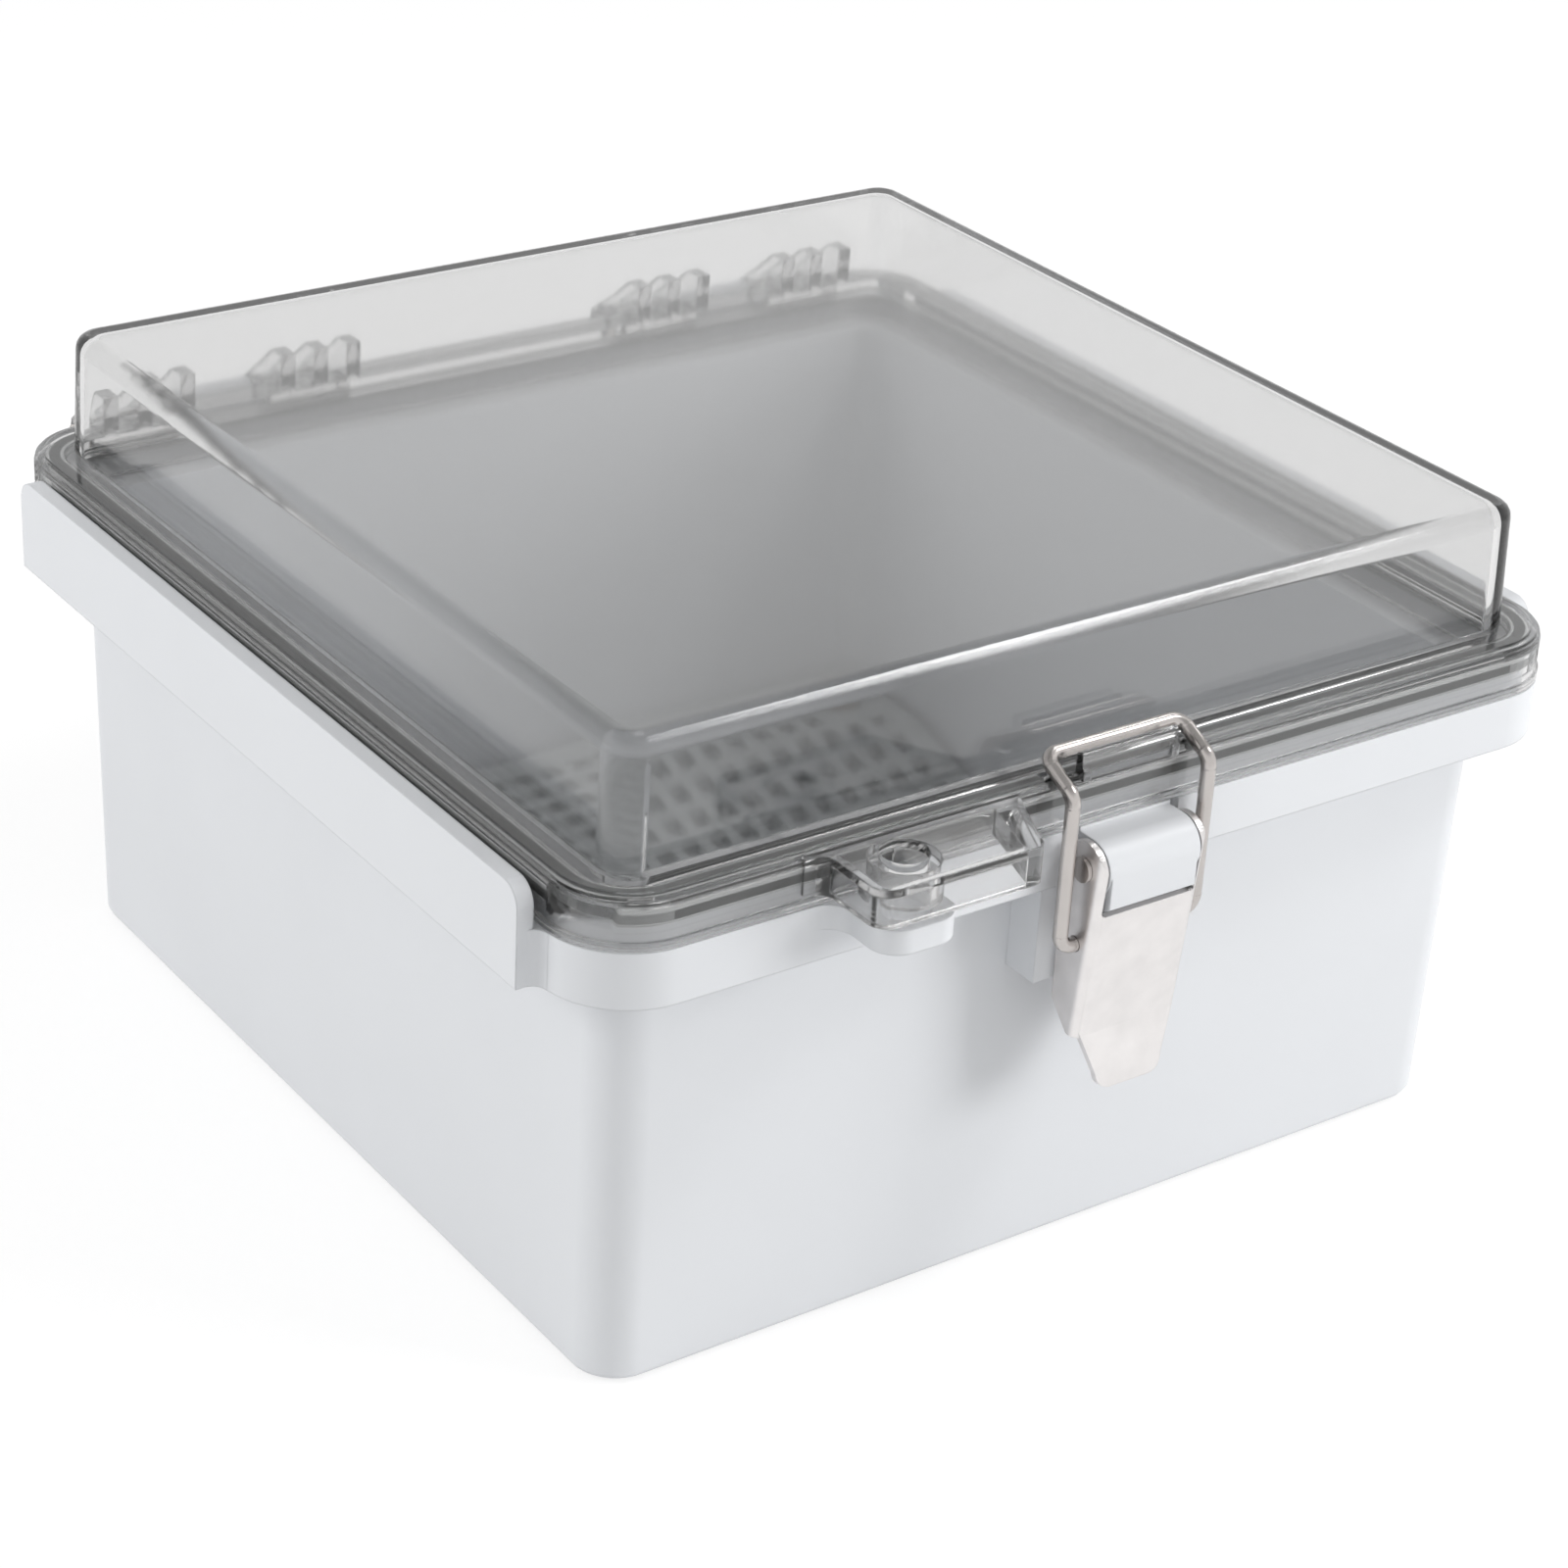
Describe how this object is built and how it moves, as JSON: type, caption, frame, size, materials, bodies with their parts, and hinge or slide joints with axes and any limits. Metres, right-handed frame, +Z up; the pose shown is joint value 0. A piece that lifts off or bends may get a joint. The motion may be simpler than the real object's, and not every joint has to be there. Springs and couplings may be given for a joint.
{
  "type": "hinged enclosure",
  "caption": "Wall-mount box with a raised clear lid on two pinned hinges, a wire-bail draw latch, a padlock hasp, a lid seal and a perforated mounting panel inside.",
  "frame": {"origin": "centre of the flat wall face, on the underside of the tub", "axes": "+X along the latch side to the right, +Y from the latch to the hinges, +Z up from the wall face through the lid"},
  "size_m": [0.2126, 0.2306, 0.1201],
  "materials": {
    "grey_polycarbonate": "fine moulded, low sheen",
    "clear_polycarbonate": "clear, lightly smoked, polished",
    "seal_rubber": "grey matt foam rubber",
    "stainless": "satin stainless steel",
    "panel_enamel": "light grey powder coat",
    "insert_brass": "turned brass"
  },
  "bodies": {
    "base": {"tub": "grey_polycarbonate", "hinge_pin_left": "stainless", "hinge_pin_right": "stainless", "latch_pivot_pin": "stainless", "mounting_panel": "panel_enamel", "panel_inserts": "insert_brass", "panel_screws": "stainless", "panel_washers": "stainless", "wall_inserts": "insert_brass"},
    "lid": {"lid": "clear_polycarbonate", "gasket": "seal_rubber"},
    "lever": {"latch_lever": "stainless"},
    "bail": {"latch_bail": "stainless"}
  },
  "joints": [
    {"name": "lid_hinge", "type": "hinge", "parent": "base", "child": "lid", "pos_m": [0, 0.108, 0.092], "axis": [-1, 0, 0], "range_deg": [0, 180]},
    {"name": "lever_pivot", "type": "hinge", "parent": "base", "child": "lever", "pos_m": [0, -0.1068, 0.0824], "axis": [-1, 0, 0], "range_deg": [0, 92]},
    {"name": "bail_pivot", "type": "hinge", "parent": "lever", "child": "bail", "pos_m": [0, -0.1063, 0.0682], "axis": [-1, 0, 0], "range_deg": [-58, 0]}
  ],
  "couplings": [
    {"joint": "bail_pivot", "follows": "lever_pivot", "ratio": -0.63}
  ]
}
